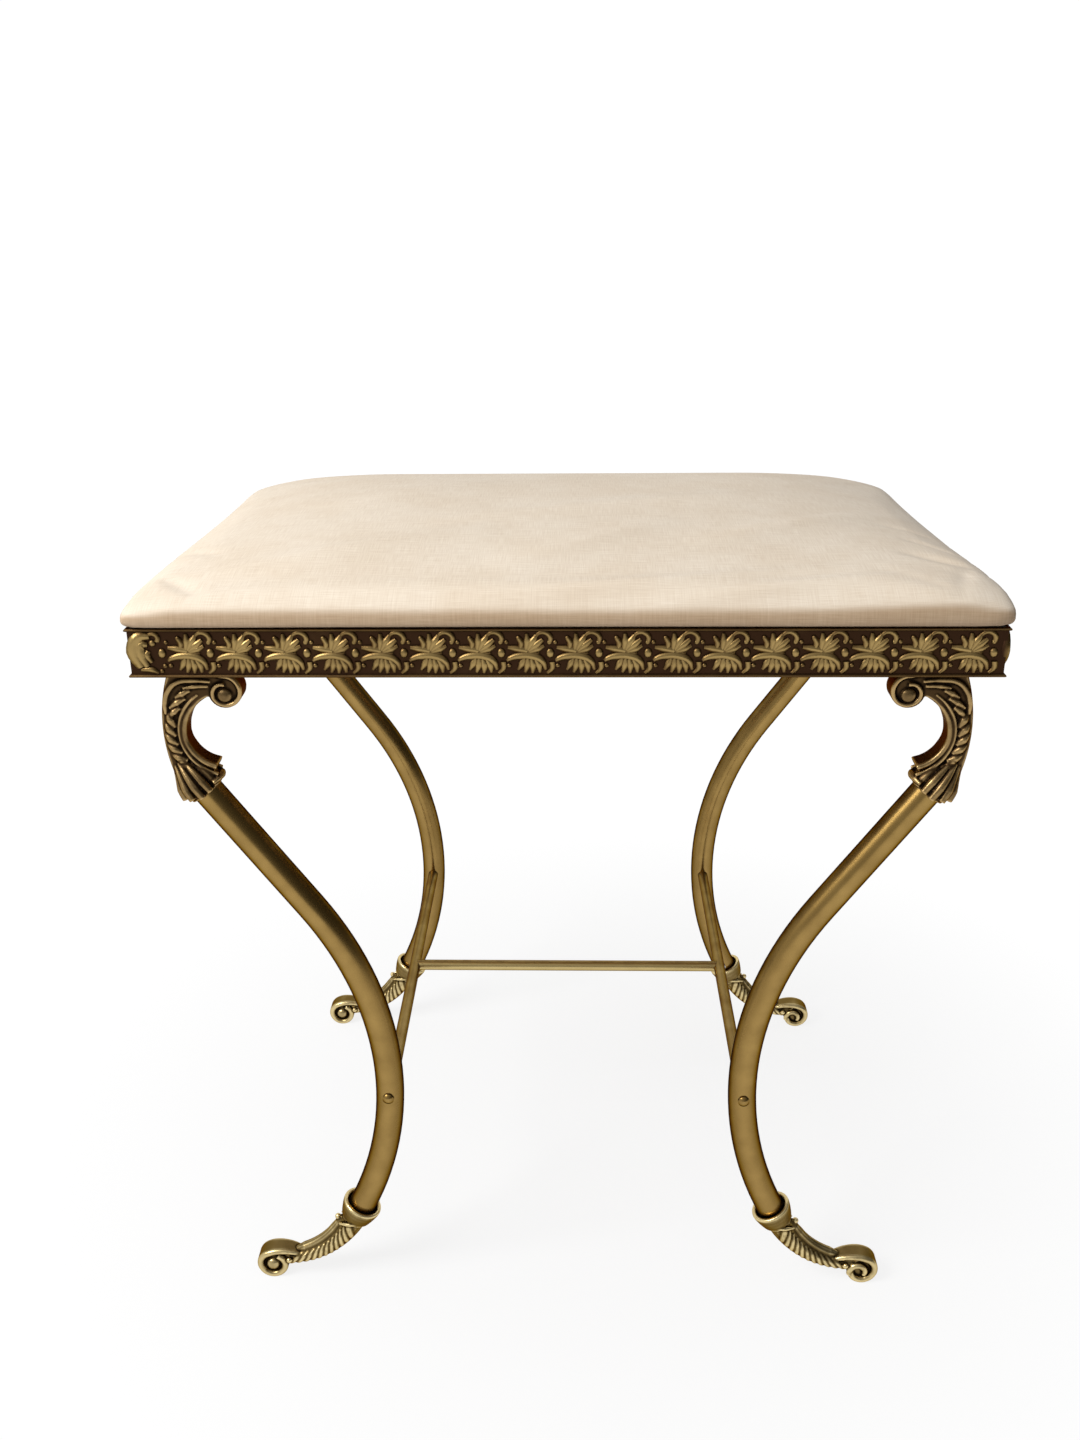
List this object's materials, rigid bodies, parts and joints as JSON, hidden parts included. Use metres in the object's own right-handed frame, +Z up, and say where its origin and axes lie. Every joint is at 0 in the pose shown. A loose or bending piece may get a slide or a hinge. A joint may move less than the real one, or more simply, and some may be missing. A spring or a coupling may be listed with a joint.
{
  "type": "upholstered stool",
  "caption": "Low backless stool with a padded cloth seat in a leaf-stamped brass frame, on bowed brass tube legs with cast scroll caps, scroll feet and rod stretchers.",
  "frame": {"origin": "on the floor under the middle of the seat", "axes": "+Z up; +X along the seat's long side, to the sitter's right seen from the front; +Y from front to rear"},
  "size_m": [0.48, 0.33, 0.493],
  "materials": {
    "seat_cloth": "matte",
    "foam": "matte",
    "plywood": "matte",
    "frame_metal": "satin",
    "band_brass": "satin",
    "cast_brass": "satin",
    "tube_brass": "satin",
    "fastener_steel": "satin"
  },
  "bodies": {
    "root": {"seat_cover": "seat_cloth", "seat_foam": "foam", "seat_board": "plywood", "cover_staples": "fastener_steel", "seat_screws": "fastener_steel", "leg_screws": "fastener_steel", "frame_rail_front": "frame_metal", "frame_rail_rear": "frame_metal", "frame_rail_left": "frame_metal", "frame_rail_right": "frame_metal", "trim_band_front": "band_brass", "trim_band_rear": "band_brass", "trim_band_left": "band_brass", "trim_band_right": "band_brass", "leg_tube_front_left": "tube_brass", "leg_tube_front_right": "tube_brass", "leg_tube_rear_left": "tube_brass", "leg_tube_rear_right": "tube_brass", "leg_cap_front_left": "cast_brass", "leg_cap_front_right": "cast_brass", "leg_cap_rear_left": "cast_brass", "leg_cap_rear_right": "cast_brass", "foot_front_left": "cast_brass", "foot_front_right": "cast_brass", "foot_rear_left": "cast_brass", "foot_rear_right": "cast_brass", "set_screws": "fastener_steel", "side_stretcher_left": "tube_brass", "side_stretcher_right": "tube_brass", "cross_stretcher": "tube_brass", "stretcher_screws": "tube_brass"}
  },
  "joints": []
}
